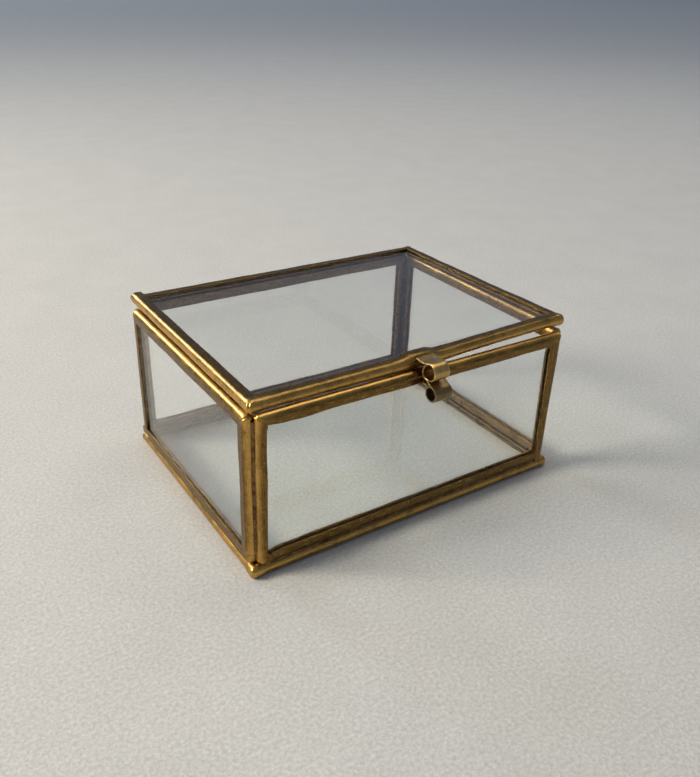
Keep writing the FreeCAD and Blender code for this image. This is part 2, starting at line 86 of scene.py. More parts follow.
def noise(nodes, links, vector, scale, detail=3.0, rough=0.55, stretch=(1.0, 1.0, 1.0)):
    """Smooth noise on a vector, finer by scale, and drawn out by stretch."""
    spread = nodes.new("ShaderNodeMapping")
    spread.inputs["Scale"].default_value = stretch
    links.new(vector, spread.inputs["Vector"])
    texture = nodes.new("ShaderNodeTexNoise")
    texture.inputs["Scale"].default_value = scale
    texture.inputs["Detail"].default_value = detail
    texture.inputs["Roughness"].default_value = rough
    links.new(spread.outputs["Vector"], texture.inputs["Vector"])
    return texture.outputs["Fac"]


def grey(level):
    """A grey as a colour."""
    return (level, level, level)


def ramp(nodes, links, factor, stops):
    """A colour for each value of a factor, straight between the stops."""
    node = nodes.new("ShaderNodeValToRGB")
    elements = node.color_ramp.elements
    while len(elements) < len(stops):
        elements.new(0.5)
    for element, (position, colour) in zip(elements, stops):
        element.position = position
        element.color = (*colour, 1.0)
    links.new(factor, node.inputs["Fac"])
    return node.outputs["Color"]


def bump(nodes, links, height, distance, strength, under=None):
    """A bump of some depth in metres, on top of another bump."""
    node = nodes.new("ShaderNodeBump")
    node.inputs["Distance"].default_value = distance
    node.inputs["Strength"].default_value = strength
    links.new(height, node.inputs["Height"])
    if under is not None:
        links.new(under, node.inputs["Normal"])
    return node.outputs["Normal"]


def glass_material():
    """Clear glass with slow waves and faint smudges.

    Lamps and the light between matt surfaces pass straight through it, so that it isn't
    lit twice and throws only a faint shadow.
    """
    material, nodes, links, shader = new_material("clear_sheet_glass")
    where = nodes.new("ShaderNodeTexCoord").outputs["Object"]
    shader.inputs["Base Color"].default_value = GLASS_TINT
    shader.inputs["Transmission Weight"].default_value = 1.0
    shader.inputs["IOR"].default_value = GLASS_IOR
    smudges = noise(nodes, links, where, SMUDGE_SCALE, 4.0, 0.6)
    links.new(ramp(nodes, links, smudges, [(0.45, grey(0.0)), (0.8, grey(SMUDGE_ROUGHNESS))]),
              shader.inputs["Roughness"])
    waves = noise(nodes, links, where, WAVE_SCALE, 1.0, 0.4)
    links.new(bump(nodes, links, waves, WAVE_DEPTH, WAVE_STRENGTH), shader.inputs["Normal"])
    clear = nodes.new("ShaderNodeBsdfTransparent")
    clear.inputs["Color"].default_value = GLASS_SHADOW
    path = nodes.new("ShaderNodeLightPath")
    surface = shader.outputs["BSDF"]
    for ray in ("Is Shadow Ray", "Is Diffuse Ray"):
        mixer = nodes.new("ShaderNodeMixShader")
        links.new(path.outputs[ray], mixer.inputs["Fac"])
        links.new(surface, mixer.inputs[1])
        links.new(clear.outputs["BSDF"], mixer.inputs[2])
        surface = mixer.outputs["Shader"]
    links.new(surface, nodes["Material Output"].inputs["Surface"])
    return material


def smooth_step(x):
    """0 below 0, 1 above 1, and a smooth S between."""
    x = np.clip(x, 0, 1)
    return x * x * (3 - 2 * x)


def lid_set(points):
    """The lid's own twist, in millimetres.

    Its front left lies low and a little forward on the box, and its front right corner
    stands up. Both grow straight from nothing at the back edge, and change across the
    lid by a smooth S.
    """
    x, y = points @ X, points @ Y
    forward = np.clip((LID_BACK - y) / LID_DEPTH, 0, 1)
    rise = LID_RISE * smooth_step((x - RISE_FROM) / RISE_OVER) - LID_DROP
    ahead = LID_AHEAD * smooth_step((AHEAD_FROM - x) / AHEAD_OVER)
    return points + (forward * rise)[..., None] * Z - (forward * ahead)[..., None] * Y


def corners_mm(node):
    """A node's lowest and highest corners in millimetres."""
    return (np.array(corner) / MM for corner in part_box(node))


def mesh_object(name, points, faces, attributes=None):
    """A smooth mesh from points in millimetres, merged and with its faces outwards."""
    mesh = bpy.data.meshes.new(name)
    mesh.from_pydata((np.asarray(points).reshape(-1, 3) * MM).tolist(), [], faces)
    for key, values in (attributes or {}).items():
        values = np.asarray(values, dtype=np.float32)
        kind, field = ("FLOAT_VECTOR", "vector") if values.ndim == 2 else ("FLOAT", "value")
        layer = mesh.attributes.new(key, kind, "POINT")
        layer.data.foreach_set(field, values.ravel())
    work = bmesh.new()
    work.from_mesh(mesh)
    bmesh.ops.remove_doubles(work, verts=work.verts, dist=DOUBLES)
    bmesh.ops.recalc_face_normals(work, faces=work.faces)
    work.to_mesh(mesh)
    work.free()
    mesh.polygons.foreach_set("use_smooth", [True] * len(mesh.polygons))
    thing = bpy.data.objects.new(name, mesh)
    bpy.context.scene.collection.objects.link(thing)
    return thing


def make_pane(name, body, x_axis, y_axis, shape=None):
    """One pane: a flat grid on each face, joined round the cut edge.

    Both faces are the same grid of two lengths, a half thickness above and below the
    middle, and shape moves them together, so that the glass keeps its thickness.
    """
    low, high = corners_mm(name)
    centre = (low + high) / 2
    half = (high - low) / 2
    normal = np.cross(x_axis, y_axis)
    share = np.linspace(-1, 1, PANE_STEPS)
    a, b = np.meshgrid(share, share, indexing="ij")
    face = (centre + x_axis * (a * (half @ np.abs(x_axis)))[..., None]
            + y_axis * (b * (half @ np.abs(y_axis)))[..., None])
    thickness = normal * (half @ np.abs(normal))
    points = np.stack([face - thickness, face + thickness]).reshape(-1, 3)
    if shape is not None:
        points = shape(points)
    number = np.arange(PANE_STEPS ** 2).reshape(PANE_STEPS, PANE_STEPS)
    faces = []
    for grid in (number[::-1], number + PANE_STEPS ** 2):
        faces += np.stack([grid[:-1, :-1], grid[1:, :-1], grid[1:, 1:], grid[:-1, 1:]],
                          axis=-1).reshape(-1, 4).tolist()
    rim = np.concatenate([number[:-1, 0], number[-1, :-1], number[:0:-1, -1],
                          number[0, :0:-1]])
    after = np.roll(rim, -1)
    faces += np.stack([rim, after, after + PANE_STEPS ** 2, rim + PANE_STEPS ** 2],
                      axis=-1).tolist()
    pane = mesh_object(f"{name}_sheet", points, faces)
    pane.data.set_sharp_from_angle(angle=CUT_EDGE)
    pane.data.materials.append(clear_glass)
    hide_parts(name)
    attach(pane, body)


clear_glass = glass_material()
for side, x_axis, y_axis in [("base", X, Y), ("front", X, Z), ("back", -X, Z),
                             ("left", -Y, Z), ("right", Y, Z)]:
    make_pane(f"{side}_glass", "box", x_axis, y_axis)
make_pane("lid_glass", "lid", X, Y, lid_set)

# ---------------------------------------------------------------- the brass channels
# Each pane is edged with one strip of soft brass channel, round on the outside and open
# to the glass. The strip is notched, folded at the corners by hand, and its two ends meet
# at one corner, where the first leg runs past the last. The brass is darkened and rubbed.
CHANNEL_WIDTH = 3.2
CHANNEL_WALL = 0.55
CHANNEL_REACH = 3.25
LIP_ROUNDING = 0.16
FOLD_RADIUS = 1.1
LEG_RINGS = 104
FOLD_RINGS = 7
SLOW_WAVE, SLOW_LENGTH = 0.06, 16.0
FINE_WAVE, FINE_LENGTH = 0.012, 4.0
FLANGE_WAVE, FLANGE_LENGTH = 0.06, 26.0
CORNER_SPREAD = 14.0
END_SHARE = 0.04
CREASE_DEPTH, CREASE_WIDTH, CREASE_REACH = 0.13, 0.22, 4.2
CREASE_LIP, LIP_PLACE, LIP_WIDTH = 0.12, 0.55, 0.3
KNUCKLE, KNUCKLE_PLACE, KNUCKLE_SPREAD = 0.05, 0.9, 1.1
LAP_THICKNESS, LAP_OVERHANG, LAP_STEP = 0.17, 0.25, 0.2
MOUND_HEIGHT, MOUND_SPREAD = 0.85, 4.5
HEAT_FILM = 0.06
HAMMER_LENGTH = 2.0
SOLDER_REACH, SOLDER_LOWEST = 4.0, 40.0
FRONT_TOP_RISE, FRONT_TOP_FROM = 0.45, 41.0
CLASP_SIDE, CLASP_OVER = 4.2, 4.0
PATCH_SCALE, SPECK_SCALE, DENT_SCALE = 190.0, 1500.0, 620.0
SMEARED_SOLDER = (0.52, 0.36, 0.15)
MIX_FACTOR, MIX_FIRST, MIX_SECOND, MIX_RESULT = 0, 6, 7, 2


def ripple(a, b, seed, length):
    """Gentle unevenness from -1 to 1: a sum of sines of two distances, in millimetres.

    Each sine has its own direction and phase, and a wavelength near length.
    """
    chance = np.random.default_rng(seed)
    total = 0.0
    for _ in range(6):
        angle = chance.uniform(0, 2 * math.pi)
        step = 2 * math.pi / (length * chance.uniform(0.6, 1.7))
        phase = chance.uniform(0, 2 * math.pi)
        total = total + np.sin(step * (a * math.cos(angle) + b * math.sin(angle)) + phase)
    return total / 3.5


def channel_section():
    """The channel's section as a closed line of (depth, height, outward, up) rows.

    Depth runs inwards from the round back and height across the glass. Two half circles
    about the same centre make the back, and straight flanges with rounded tips lead off
    from both. The line starts and ends in the hollow.
    """
    outer = CHANNEL_WIDTH / 2
    inner = outer - CHANNEL_WALL
    tip = CHANNEL_REACH
    rows = [(d, inner, 0.0, -1.0) for d in np.linspace(outer + 0.1, tip - LIP_ROUNDING, 5)]
    rows.append((tip - 0.04, inner + 0.05, 0.7, -0.7))
    rows.append((tip, inner + LIP_ROUNDING, 1.0, 0.0))
    rows.append((tip, outer - LIP_ROUNDING, 1.0, 0.0))
    rows.append((tip - 0.05, outer - 0.05, 0.7, 0.7))
    rows += [(d, outer, 0.0, 1.0) for d in np.linspace(tip - LIP_ROUNDING, outer + 0.1, 6)]
    flange = [(d, -h, o, -u) for d, h, o, u in rows][::-1]
    for angle in np.linspace(0, math.pi, 27):
        rows.append((outer - outer * math.sin(angle), outer * math.cos(angle),
                     -math.sin(angle), math.cos(angle)))
    rows += flange
    for angle in np.linspace(math.pi, 0, 13):
        rows.append((outer - inner * math.sin(angle), inner * math.cos(angle),
                     math.sin(angle), -math.cos(angle)))
    return np.array(rows)


def skin(rings, around):
    """Faces between rings of points, each ring joined round to its own start."""
    first = np.arange(rings - 1)[:, None] * around
    here = np.arange(around)[None, :]
    there = (here + 1) % around
    return np.stack([first + here, first + there, first + around + there,
                     first + around + here], axis=-1).reshape(-1, 4).tolist()


def cut_ends(rings, around):
    """Faces that close a channel's two ends across its wall.

    A ring's first point joins its last, its second the last but one, and so on, which
    covers the brass and leaves the hollow open.
    """
    faces = []
    for start in (0, (rings - 1) * around):
        for i in range(around // 2 - 1):
            faces.append([start + i, start + i + 1, start + around - 2 - i,
                          start + around - 1 - i])
    return faces


def strip_rings(first_corner):
    """Each ring's leg, its share along the leg, and its turn within a fold.

    The share is part even steps and part a half cosine, so that rings crowd near the
    folds. Three folds join the four legs, and the ends meet at first_corner.
    """
    even = np.linspace(0, 1, LEG_RINGS)
    dense = 0.55 * (0.5 - 0.5 * np.cos(math.pi * even)) + 0.45 * even
    fold = np.arange(1, FOLD_RINGS + 1) / (FOLD_RINGS + 1)
    legs, shares, turns = [], [], []
    for i in range(4):
        folds = FOLD_RINGS if i < 3 else 0
        legs.append(np.full(LEG_RINGS + folds, (first_corner + i) % 4))
        shares.append(np.r_[dense, np.ones(folds)])
        turns.append(np.r_[np.zeros(LEG_RINGS), fold[:folds]])
    return np.concatenate(legs), np.concatenate(shares), np.concatenate(turns)


def flange_reach(plan, legs, shares, turns):
    """How far the flanges cover the glass at each ring.

    It runs straight from a leg's first reach to its last, and then meets its neighbours
    half way, by a smooth S over the last 4 hundredths of the leg.
    """
    reach = plan[legs, 0] + (plan[legs, 1] - plan[legs, 0]) * shares
    following = plan[(legs + 1) % 4, 0]
    preceding = plan[(legs - 1) % 4, 1]
    near_end = smooth_step((shares - 1 + END_SHARE) / END_SHARE) * 0.5 * (turns == 0)
    near_end = near_end + 0.5 * (turns > 0)
    near_start = smooth_step((END_SHARE - shares) / END_SHARE) * 0.5
    return (reach + (following - plan[legs, 1]) * near_end
            + (preceding - plan[legs, 0]) * near_start)


def make_channel(name, body, x_axis, y_axis, seed, first_corner=0, run_past=0.0,
                 reaches=None, laps=(), uneven=1.0, heat=None, bulges=(), mound=None,
                 shape=None, hammered=0.0):
    """One folded channel.

    The section is carried round a rectangle whose corners are arcs for the round back and
    plain mitres for the flanges. Ripples, a crease at each fold, small knuckles on the
    folds and square laps are added along the section's own normals.

    reaches holds, for each leg, how far its flanges cover the glass at its start and at
    its end. laps are corners where one leg lies over the other, and bulges are corners
    that swell by some millimetres. heat and mound are the middle and half width of what
    the clasp's solder discoloured and of the lump that it left.
    """
    low, high = corners_mm(name)
    centre = (low + high) / 2
    normal = np.cross(x_axis, y_axis)
    length = abs((high - low) @ x_axis)
    breadth = abs((high - low) @ y_axis)
    section = channel_section()
    around = len(section)
    legs, shares, turns = strip_rings(first_corner)
    rings = len(legs)
    along = np.array([x_axis, y_axis, -x_axis, -y_axis])[legs]
    inward = np.array([y_axis, -x_axis, -y_axis, x_axis])[legs]
    spans = np.array([length, breadth, length, breadth])[legs]
    corners = np.array([-x_axis * length / 2 - y_axis * breadth / 2,
                        x_axis * length / 2 - y_axis * breadth / 2,
                        x_axis * length / 2 + y_axis * breadth / 2,
                        -x_axis * length / 2 + y_axis * breadth / 2])[legs]

    # The flanges' reach stretches the part of the section beyond the round back.
    plan = np.array(reaches if reaches is not None else [(CHANNEL_REACH, CHANNEL_REACH)] * 4)
    travelled = np.cumsum(np.r_[0, np.diff(shares * spans).clip(0)]) + turns
    reach = flange_reach(plan, legs, shares, turns)
    reach = reach + FLANGE_WAVE * uneven * ripple(travelled, 0, seed + 5, FLANGE_LENGTH)
    web = CHANNEL_WIDTH / 2
    depth = section[None, :, 0].repeat(rings, 0)
    flange = np.clip((depth - web) / (CHANNEL_REACH - web), 0, None)
    depth = np.where(depth > web, web + flange * (reach[:, None] - web), depth)
    height = section[None, :, 1].repeat(rings, 0)

    # Place along each leg: straight for the middle, an arc or a mitre at the folds.
    margin = np.maximum(depth, FOLD_RADIUS)
    opening = (legs == first_corner)[:, None]
    closing = (legs == (first_corner + 3) % 4)[:, None]
    start = np.where(opening, -run_past, margin)
    end = np.where(closing, plan[first_corner, 0] - 0.1, margin)
    s = start + shares[:, None] * (spans[:, None] - start - end)
    sweep = turns[:, None] * math.pi / 2
    arc = np.maximum(FOLD_RADIUS - depth, 0)
    folded = (turns > 0)[:, None]
    s = np.where(folded, spans[:, None] - margin + arc * np.sin(sweep), s)
    d = np.where(folded, depth + arc * (1 - np.cos(sweep)), depth)
    points = (corners[:, None] + along[:, None] * s[..., None] + inward[:, None] * d[..., None]
              + normal * height[..., None])

    # The section's own normal, turned with the fold, and which of its points show.
    inside = (inward[:, None] * np.cos(sweep)[..., None]
              - along[:, None] * np.sin(sweep)[..., None])
    outward = inside * section[None, :, 2, None] + normal * section[None, :, 3, None]
    in_hollow = (section[:, 0] > web) & (np.abs(section[:, 1]) < web - 0.25)
    outside = np.hypot(section[:, 0] - web, section[:, 1]) > web - 0.2
    shown = (outside & ~in_hollow)[None, :] * 1.0

    # Distances: u along the strip, v round its section, and from the nearest corner.
    v = np.cumsum(np.r_[0, np.hypot(*np.diff(section[:, :2], axis=0).T)])[None, :]
    u = travelled[:, None] + 0 * v
    flat_x, flat_y = points @ x_axis, points @ y_axis
    from_x = length / 2 - np.abs(flat_x)
    from_y = breadth / 2 - np.abs(flat_y)
    corner = np.where(flat_y < 0, np.where(flat_x < 0, 0, 1), np.where(flat_x < 0, 3, 2))
    near = np.exp(-((from_x ** 2 + from_y ** 2) / CORNER_SPREAD))
    lapped = np.isin(corner, list(laps))

    # The marks of the hand: waves, creases with their lips, knuckles, laps and swellings.
    lift = SLOW_WAVE * uneven * ripple(u, 0.5 * v, seed, SLOW_LENGTH)
    lift = lift + FINE_WAVE * uneven * ripple(u, 1.2 * v, seed + 1, FINE_LENGTH)
    crease = np.exp(-((from_x - from_y) / CREASE_WIDTH) ** 2)
    crease = crease * (np.maximum(from_x, from_y) < CREASE_REACH)
    lips = np.exp(-((np.abs(from_x - from_y) - LIP_PLACE) / LIP_WIDTH) ** 2)
    lift = lift + np.where(lapped | (corner == first_corner), 0.0,
                           near * (CREASE_LIP * lips - CREASE_DEPTH * crease))
    knuckle = np.exp(-((from_x - KNUCKLE_PLACE) ** 2 + (from_y - KNUCKLE_PLACE) ** 2)
                     / KNUCKLE_SPREAD)
    lift = lift + KNUCKLE * knuckle * uneven
    cover = smooth_step((CHANNEL_REACH + LAP_OVERHANG - np.maximum(from_x, from_y))
                        / LAP_STEP)
    lift = lift + np.where(lapped, LAP_THICKNESS * cover, 0.0)
    for bulge_corner, size in bulges:
        lift = lift + np.where(corner == bulge_corner, size * near, 0.0)
    beaten = (legs == 3)[:, None]
    lift = lift + hammered * ripple(u, 1.5 * v, seed + 7, HAMMER_LENGTH) * beaten
    points = points + outward * (lift * shown)[..., None] + centre

    # The clasp's solder: a lump that falls off by a bell curve, and a thin warm film.
    warm = np.where(lapped, 0.8 * cover * (height > 0.5), 0.0)
    if mound is not None:
        middle, half = mound
        beside = np.clip(np.abs(points @ X - middle) - half, 0, None)
        heap = np.exp(-beside ** 2 / MOUND_SPREAD)
        heap = heap * (from_y < SOLDER_REACH) * (points @ Y < centre @ Y)
        upper = np.clip(outward @ Z, 0, 1) * shown
        points = points + outward * (MOUND_HEIGHT * heap * upper)[..., None]
    if heat is not None:
        middle, half = heat
        edge = 0.5 * ripple(v + 0 * u, u * 0, seed + 3, 2.0)
        patch = smooth_step((half - np.abs(points @ X - middle) + edge) / 0.5)
        level = abs(normal @ Z) > 0.5
        patch = patch * (points @ Y < centre @ Y if level else points @ Z > SOLDER_LOWEST)
        patch = patch * (from_y < SOLDER_REACH)
        points = points + outward * (HEAT_FILM * patch * shown)[..., None]
        warm = np.maximum(warm, patch)
    if shape is not None:
        points = shape(points)
    points = np.clip(points, *(np.array(limit) / MM for limit in cad_box))
    rub = np.clip(-section[None, :, 2], 0, 1) ** 1.5 + 0.5 * near
    strip = np.stack([u, v + 0 * u, 0 * u + seed], axis=-1).reshape(-1, 3)
    piece = mesh_object(f"{name}_folded", points, skin(rings, around) + cut_ends(rings, around),
                        {"strip": strip, "rub": np.clip(rub, 0, 1).ravel(),
                         "heat": warm.ravel()})
    piece.data.materials.append(channel_brass)
    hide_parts(name)
    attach(piece, body)


def mixed(nodes, links, first, second, factor, kind="MIX"):
    """Two colours mixed by a factor, each of them a socket or a constant."""
    node = nodes.new("ShaderNodeMix")
    node.data_type = "RGBA"
    node.blend_type = kind
    for key, source in ((MIX_FACTOR, factor), (MIX_FIRST, first), (MIX_SECOND, second)):
        if isinstance(source, bpy.types.NodeSocket):
            links.new(source, node.inputs[key])
        else:
            node.inputs[key].default_value = source if key == MIX_FACTOR else (*source, 1.0)
    return node.outputs[MIX_RESULT]


def sums(nodes, links, first, second, scale):
    """first + second * scale, held between 0 and 1."""
    node = nodes.new("ShaderNodeMath")
    node.operation = "MULTIPLY_ADD"
    node.use_clamp = True
    links.new(second, node.inputs[0])
    node.inputs[1].default_value = scale
    links.new(first, node.inputs[2])
    return node.outputs[0]


def attribute(nodes, name, output):
    """One of the mesh's own values, as a socket."""
    node = nodes.new("ShaderNodeAttribute")
    node.attribute_name = name
    return node.outputs[output]


def brass_material(name, gold, patina, groove, shine, tarnish, ridged=True):
    """Darkened brass: rubbed gold on ridges, olive patina elsewhere, brown in the folds.

    Drawing lines run along the strip, and dents, pits and scratches break the shine. A
    ridged piece has its own strip, rub and heat values, and a plain one has none.
    """
    material, nodes, links, shader = new_material(name)
    where = nodes.new("ShaderNodeTexCoord").outputs["Object"]
    patches = noise(nodes, links, where, PATCH_SCALE, 5.0, 0.62)
    specks = noise(nodes, links, where, SPECK_SCALE, 3.0, 0.6)
    dents = noise(nodes, links, where, DENT_SCALE, 2.0, 0.5)
    if ridged:
        strip = attribute(nodes, "strip", "Vector")
        lines = noise(nodes, links, strip, 1.0, 4.0, 0.65, (0.25, 6.0, 1.0))
        worn = attribute(nodes, "rub", "Fac")
    else:
        lines = noise(nodes, links, where, 900.0, 4.0, 0.65, (0.2, 1.0, 1.0))
        worn = patches
    blotch = ramp(nodes, links, patches, [(0.34, grey(0.0)), (0.66, grey(1.0))])
    fleck = ramp(nodes, links, specks, [(0.5, grey(0.0)), (0.72, grey(1.0))])
    streak = ramp(nodes, links, lines, [(0.35, grey(0.0)), (0.7, grey(1.0))])
    polish = sums(nodes, links, sums(nodes, links, worn, blotch, -0.35), streak, 0.32)
    base = mixed(nodes, links, patina, gold, polish)
    base = mixed(nodes, links, base, groove, ramp(nodes, links, dents, [
        (0.28, grey(tarnish)), (0.4, grey(0.0))]))
    pale = tuple(min(1.0, c * 1.7) for c in gold)
    base = mixed(nodes, links, base, pale, ramp(
        nodes, links, sums(nodes, links, streak, fleck, 0.6),
        [(0.6, grey(0.0)), (1.0, grey(0.22))]))
    if ridged:
        base = mixed(nodes, links, base, SMEARED_SOLDER, ramp(
            nodes, links, attribute(nodes, "heat", "Fac"),
            [(0.0, grey(0.0)), (1.0, grey(0.6))]))
    links.new(base, shader.inputs["Base Color"])
    shader.inputs["Metallic"].default_value = 1.0
    links.new(ramp(nodes, links, sums(nodes, links, blotch, streak, 0.4), [
        (0.0, grey(shine + 0.12)), (1.0, grey(shine))]), shader.inputs["Roughness"])
    rough = None
    for marks, distance, strength in ((patches, 0.00012, 0.25), (dents, 0.00004, 0.3),
                                      (specks, 0.00001, 0.4), (lines, 0.00003, 0.3)):
        rough = bump(nodes, links, marks, distance, strength, rough)
    links.new(rough, shader.inputs["Normal"])
    return material


def front_top_set(points):
    """The front panel's top edge stands nearly half a millimetre high left of the clasp."""
    top = smooth_step(points @ Z - FRONT_TOP_FROM)
    left = smooth_step((CLASP_SIDE - points @ X) / CLASP_OVER)
    return points + (FRONT_TOP_RISE * top * left)[..., None] * Z


channel_brass = brass_material("darkened_brass_channel", (0.55, 0.325, 0.088),
                               (0.105, 0.060, 0.018), (0.06, 0.026, 0.01), 0.27, 0.45)
FULL = CHANNEL_REACH
CLASP_HEAT = (1.0, 9.0)
make_channel("base_channel", "box", X, Y, 11, first_corner=2, laps=(0,), uneven=0.8,
             bulges=((0, 0.12),))
make_channel("front_channel", "box", X, Z, 21, first_corner=1, laps=(0,),
             reaches=[(FULL, FULL), (3.3, 4.3), (FULL, 3.1), (2.5, 2.1)],
             heat=CLASP_HEAT, shape=front_top_set)
make_channel("back_channel", "box", -X, Z, 31, first_corner=1)
make_channel("left_channel", "box", -Y, Z, 41, bulges=((1, 0.25),))
make_channel("right_channel", "box", Y, Z, 51, first_corner=2,
             reaches=[(FULL, FULL), (FULL, FULL), (FULL, 3.4), (3.0, 2.6)])
make_channel("lid_channel", "lid", X, Y, 61, first_corner=3, run_past=1.2, uneven=1.2,
             heat=CLASP_HEAT, bulges=((0, 0.2), (1, 0.15)), mound=(-0.7, 2.4),
             shape=lid_set, hammered=0.026)

# ---------------------------------------------------------------- the solder seams
# Where two round backs meet, soft solder fills the bottom of the groove. It was run in
# with an iron and patinated brown with the brass, and it is lumpy along its length. The
# same solder holds the clasp's and the hinges' strips.
LUMP_SCALE, PIT_SCALE = 420.0, 2100.0
SOLDER_DARK, SOLDER_MIDDLE, SOLDER_RUBBED = (
    (0.07, 0.035, 0.016), (0.20, 0.12, 0.05), (0.38, 0.26, 0.12))


def finish_node(node, material):
    """Give a CAD node one finish all over."""
    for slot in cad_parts[node].material_slots:
        slot.material = material


def solder_material():
    """Brown patinated solder with lumps, pinholes and a few bright rubbed spots."""
    material, nodes, links, shader = new_material("patinated_solder")
    where = nodes.new("ShaderNodeTexCoord").outputs["Object"]
    lumps = noise(nodes, links, where, LUMP_SCALE, 4.0, 0.6)
    pits = noise(nodes, links, where, PIT_SCALE, 2.0, 0.5)
    links.new(ramp(nodes, links, lumps, [(0.3, SOLDER_DARK), (0.55, SOLDER_MIDDLE),
                                         (0.8, SOLDER_RUBBED)]), shader.inputs["Base Color"])
    shader.inputs["Metallic"].default_value = 1.0
    links.new(ramp(nodes, links, pits, [(0.3, grey(0.55)), (0.7, grey(0.36))]),
              shader.inputs["Roughness"])
    rough = bump(nodes, links, lumps, 0.0003, 0.7)
    links.new(bump(nodes, links, pits, 0.00004, 0.6, rough), shader.inputs["Normal"])
    return material


solder = solder_material()
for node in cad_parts:
    if node.endswith(("_seam", "_solder")):
        finish_node(node, solder)

# ---------------------------------------------------------------- the rolled strips
# The clasp's two curls and the hinges' six rolls are short lengths of brass strip, bent
# round a rod with pliers and soldered on by their straight ends.
STRIP_POINTS = 56
ROLL_STEPS = 72
STRAP_STEPS = 22
CLASP_STRIP, HINGE_STRIP = 0.55, 0.5
EDGE_SQUARENESS = 0.35
ROLL_GAP = 0.12
CUT_SWAY, CUT_SWAY_LENGTH = 0.06, 5.0
FACE_WAVE, FACE_WAVE_LENGTH = 0.02, 2.0
WIDTH_WAVE, WIDTH_WAVE_LENGTH = 0.012, 4.0
LID_CURL, BOX_CURL = 2.4, 2.15
BOX_STRAP_SLOPE = math.radians(25.3)
STRAP_SINK, STRAP_SPREAD, SINK_BEFORE, SINK_OVER = 0.42, 0.16, 0.4, 2.6


def strip_outline(width, thickness):
    """A rectangle with rounded corners as (across, through) rows.

    It is a superellipse: both coordinates are a power of the cosine and the sine, pushed
    out until the sides are flat.
    """
    angle = np.linspace(0, 2 * math.pi, STRIP_POINTS, endpoint=False)
    c, s = np.cos(angle), np.sin(angle)
    across = np.sign(c) * np.abs(c) ** EDGE_SQUARENESS * width / 2
    through = np.sign(s) * np.abs(s) ** EDGE_SQUARENESS * thickness / 2
    return across, through


def make_roll(node, body, centre, radius, thickness, strap, strap_way, side_way, seed,
              material, shape=None):
    """A rolled strip: a straight strap that runs tangent into a nearly closed circle.

    The middle line starts at the strap's end, comes down the strap, and then turns about
    the roll's middle. The strip's section is carried along it, with a gentle ripple and
    cut edges that sway.
    """
    low, high = corners_mm(node)
    width = high[0] - low[0]
    middle = radius - thickness / 2
    total = 2 * math.pi - ROLL_GAP / middle - 0.12
    straight = np.linspace(strap, 0, STRAP_STEPS, endpoint=False)[:, None]
    turn = np.linspace(0, total, ROLL_STEPS)[:, None]
    axis = np.cross(side_way, strap_way)
    ray = side_way * np.cos(turn) - strap_way * np.sin(turn)
    line = np.concatenate([centre + side_way * middle + strap_way * straight,
                           centre + ray * middle])
    out = np.concatenate([side_way + 0 * straight, ray])
    rings = len(line)
    across, through = strip_outline(width, thickness)
    a = np.concatenate([strap - straight, strap + turn * middle]) + 0 * across
    b = across + 0 * a
    sway = CUT_SWAY * ripple(a, 0 * b, seed, CUT_SWAY_LENGTH)
    wave = FACE_WAVE * ripple(a, b, seed + 1, FACE_WAVE_LENGTH)
    widen = 1 + WIDTH_WAVE * ripple(a, 0 * a, seed + 2, WIDTH_WAVE_LENGTH)
    points = (line[:, None] + axis * (b * widen + sway)[..., None]
              + out[:, None] * (through + wave * np.sign(through))[..., None])
    if shape is not None:
        points = shape(points)
    points = np.clip(points, *(np.array(limit) / MM for limit in cad_box))
    around = len(across)
    faces = skin(rings, around)
    faces.append(list(range(around)))
    faces.append(list(range((rings - 1) * around, rings * around)))
    strip = np.stack([a, b + through, 0 * a + seed], axis=-1).reshape(-1, 3)
    edge = np.clip(np.abs(b) / (width / 2) - 0.82, 0, 1) * 4
    rub = np.clip(0.55 * (through > -0.1) + edge, 0, 1)
    piece = mesh_object(f"{node}_bent", points, faces,
                        {"strip": strip, "rub": rub.ravel(), "heat": (0 * a).ravel()})
    piece.data.materials.append(material)
    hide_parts(node)
    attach(piece, body)


strip_brass = brass_material("bent_brass_strip", (0.74, 0.49, 0.17), (0.26, 0.13, 0.045),
                             (0.14, 0.045, 0.018), 0.26, 0.4)
# The box's curl has painted shade: the same strip brass with darker gold, patina and groove
# colours for the shade that the lid's curl casts on it, and a little rougher.
painted_shade_brass = brass_material("brass_strip_in_painted_shade", (0.30, 0.205, 0.09), (0.13, 0.085, 0.042),
                            (0.06, 0.03, 0.015), 0.34, 0.6)

# The lid's curl: its strap sinks into the solder on the front channel and rolls down in
# front.
low, high = corners_mm("lid_clasp_curl")
LID_STRAP_MIDDLE = (low[0] + high[0]) / 2
LID_STRAP_ROOT = low[1] + LID_CURL


def lid_curl_set(points):
    """The strap sinks and spreads towards its end, and then takes the lid's twist."""
    back = smooth_step((points @ Y - LID_STRAP_ROOT + SINK_BEFORE) / SINK_OVER)
    spread = STRAP_SPREAD * back * (points @ X - LID_STRAP_MIDDLE)
    return lid_set(points - (STRAP_SINK * back)[..., None] * Z + spread[..., None] * X)


make_roll("lid_clasp_curl", "lid",
          np.array([LID_STRAP_MIDDLE, LID_STRAP_ROOT, high[2] - LID_CURL]), LID_CURL,
          CLASP_STRIP, high[1] - LID_STRAP_ROOT, Y, Z, 71, strip_brass, lid_curl_set)

